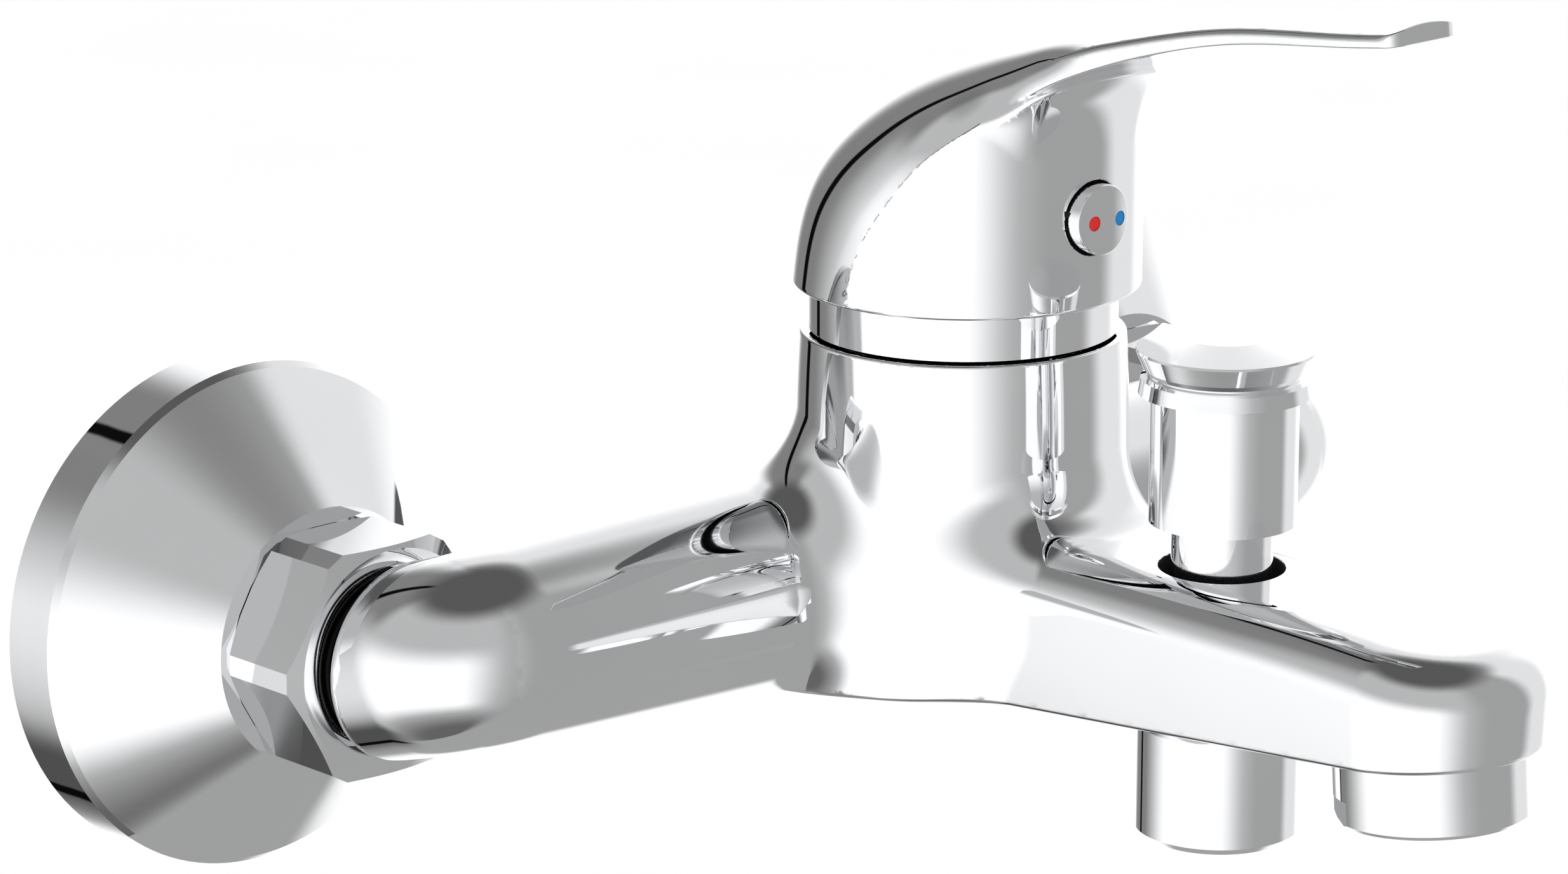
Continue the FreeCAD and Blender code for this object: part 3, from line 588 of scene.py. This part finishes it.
def steel(name, colour):
    """Stainless with streaks across Z."""
    material, tree, bsdf = new_material(name)
    bsdf.inputs["Metallic"].default_value = 1.0
    lines = tinted(tree, bsdf, colour, 0.07, 120.0, (0.24, 0.40), 3.0, (1, 1, 30))
    bump(tree, bsdf, lines, 0.00001, 0.5)
    return material


def rubber(name, colour):
    """Moulded seal: matt, fine-grained and darker than its nominal colour."""
    material, tree, bsdf = new_material(name)
    tinted(tree, bsdf, shade(colour, 0.35), 0.2, 700.0, (0.55, 0.75))
    bump(tree, bsdf, noise(tree, 4000.0, 2.0), 0.00003)
    return material


def moulded(name, colour):
    """Acetal moulding with a satin, finely sparked skin."""
    material, tree, bsdf = new_material(name)
    tinted(tree, bsdf, colour, 0.04, 220.0, (0.38, 0.52))
    bump(tree, bsdf, noise(tree, 3500.0, 2.0), 0.00002)
    return material


def ceramic(name, colour):
    """Lapped alumina: smooth, almost even in colour."""
    material, tree, bsdf = new_material(name)
    tinted(tree, bsdf, colour, 0.02, 500.0, (0.10, 0.2))
    bump(tree, bsdf, noise(tree, 6000.0, 2.0), 0.000004)
    return material


def enamel(name, colour):
    """Coloured dot with an uneven, softly shining skin."""
    material, tree, bsdf = new_material(name)
    bsdf.inputs["Specular IOR Level"].default_value = 0.25
    tinted(tree, bsdf, shade(colour, 0.9), 0.10, 1500.0, (0.3, 0.45))
    bump(tree, bsdf, noise(tree, 1200.0, 1.0), 0.00003)
    return material


# finish for each material class other than chrome
FINISHES = {"brass": turned_brass, "rubber": rubber, "brushed_steel": steel, "matte_plastic": moulded,
            "ceramic": ceramic, "gloss_plastic": enamel}
# bore radius and mouth depth, in metres, of the chrome slots whose bore is painted dark as shadow
THREADED = {"union_nut": (0.01255, -0.0359), "inlet_tail": (0.0113, -0.0374)}


def slot_materials():
    """One material for each material slot of the record."""
    made = {}
    for row in frame["record"]["materials"]:
        slot, kind, colour = row["slot"], row["class"], row["base_color"]
        if kind == "chrome":
            made[slot] = chrome(slot, THREADED.get(slot))
        else:
            made[slot] = FINISHES[kind](slot, colour)
    return made


# ---- surroundings ------------------------------------------------------------------
DIFFUSE_LEVEL = 1.05
ROOM_LEVEL = 0.365
FROM_FRONT, FROM_WALL, FROM_WALL_SLANTED = 0, 1, 2
SLANT = 0.14
# direction that the angle is measured from, then left edge, its softness, right edge, its softness,
# bottom, its softness, top, its softness, all in degrees, and brightness; later rows lie over earlier ones
PANELS = (
    (FROM_FRONT, -200, 1, -5, 20, -100, 5, -66, 12, 0.13),
    (FROM_FRONT, -158, 20, -4, 16, -56, 8, 58, 14, 0.50),
    (FROM_FRONT, -140, 18, -28, 20, -50, 8, 10, 14, 1.12),
    (FROM_FRONT, 60, 9, 158, 10, -43, 4, 52, 8, 0.80),
    (FROM_FRONT, 96, 8, 152, 8, -38, 6, 32, 12, 1.15),
    (FROM_WALL, -22, 9, 18, 10, -60, 8, 62, 8, 0.22),
    (FROM_WALL, -12, 8, 24, 10, -62, 8, -32, 8, 0.08),
    (FROM_WALL, 10, 10, 42, 10, 24, 10, 66, 10, 0.22),
    (FROM_FRONT, -200, 1, 200, 1, 56, 11, 100, 5, 0.10),
    (FROM_WALL_SLANTED, -1.9, 0.9, 3.9, 0.9, -62, 4, 62, 4, 0.003),
)


def studio():
    """Grey room with soft boxes, dark ceiling and dark slit for reflections; plain white otherwise."""
    world = bpy.data.worlds.new("studio")
    bpy.context.scene.world = world
    world.use_nodes = True
    tree = world.node_tree
    back = tree.nodes["Background"]

    def maths(operation, *values):
        return add(tree, "ShaderNodeMath", dict(enumerate(values)), operation=operation).outputs[0]

    def ramp(value, low, high):
        return add(tree, "ShaderNodeMapRange", {"Value": value, "From Min": low, "From Max": high},
                   interpolation_type="SMOOTHSTEP").outputs["Result"]

    def mix(factor, a, b):
        node = add(tree, "ShaderNodeMix", {"Factor": factor, "A": a, "B": b}, data_type="FLOAT")
        return node.outputs["Result"]

    direction = add(tree, "ShaderNodeTexCoord").outputs["Generated"]
    x, y, z = add(tree, "ShaderNodeSeparateXYZ", {0: direction}).outputs
    degrees = 180 / math.pi
    front = maths("MULTIPLY", maths("ARCTAN2", x, maths("MULTIPLY", y, -1.0)), degrees)
    wall = maths("MULTIPLY", maths("ARCTAN2", maths("MULTIPLY", x, -1.0), y), degrees)
    height = maths("MULTIPLY", maths("ARCSINE", z), degrees)
    slanted = maths("SUBTRACT", wall, maths("MULTIPLY", height, SLANT))
    level = ROOM_LEVEL
    for side, left, left_soft, right, right_soft, bottom, bottom_soft, top, top_soft, value in PANELS:
        angle = (front, wall, slanted)[side]
        mask = maths("MULTIPLY", ramp(angle, left - left_soft, left + left_soft),
                     ramp(angle, right + right_soft, right - right_soft))
        mask = maths("MULTIPLY", mask, ramp(height, bottom - bottom_soft, bottom + bottom_soft))
        mask = maths("MULTIPLY", mask, ramp(height, top + top_soft, top - top_soft))
        level = mix(mask, level, value)
    glossy = add(tree, "ShaderNodeLightPath").outputs["Is Glossy Ray"]
    tree.links.new(mix(glossy, DIFFUSE_LEVEL, level), back.inputs["Strength"])
    back.inputs["Color"].default_value = (1, 1, 1, 1)


FLOOR_HALF, FLOOR_Z = 6.0, -0.25


def stage_floor():
    s, z = FLOOR_HALF, FLOOR_Z
    mesh = bpy.data.meshes.new("floor")
    mesh.from_pydata([(-s, -s, z), (s, -s, z), (s, s, z), (-s, s, z)], [], [(0, 1, 2, 3)])
    floor = bpy.data.objects.new("floor", mesh)
    bpy.context.scene.collection.objects.link(floor)
    material, tree, bsdf = new_material("floor")
    tinted(tree, bsdf, (0.97, 0.97, 0.97), 0.004, 8.0, (0.85, 0.95))
    mesh.materials.append(material)
    floor.visible_glossy = False


# ---- making ------------------------------------------------------------------------
make_camera()
MATERIALS = slot_materials()
SLOTS = {row["node"]: row["material_slot"] for row in frame["record"]["subparts"]}
for name, obj in frame["nodes"].items():
    obj.data.materials.clear()
    obj.data.materials.append(MATERIALS[SLOTS[name]])
# faces that the holes cut get the bare casting, near black as painted shade
INSIDE_AND_SHADE = bare_casting_and_shade("casting_inside_and_shade")
# grid step in millimetres
STEP = 0.8
body = field_piece("body", body_field, body_holes, (-89, -161, -13), (89, -35, 38), STEP,
                   (MATERIALS["body_casting"], INSIDE_AND_SHADE))
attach(body, "faucet_body")
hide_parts("body_casting")
handle = field_piece("handle", handle_field, handle_holes, (-24.5, -144, 41), (24.5, -39, 90), STEP * 0.8,
                     (MATERIALS["handle_lever"], INSIDE_AND_SHADE))
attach(handle, "lever")
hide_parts("handle_lever")
studio()
stage_floor()
bpy.context.scene.view_settings.view_transform = "Standard"
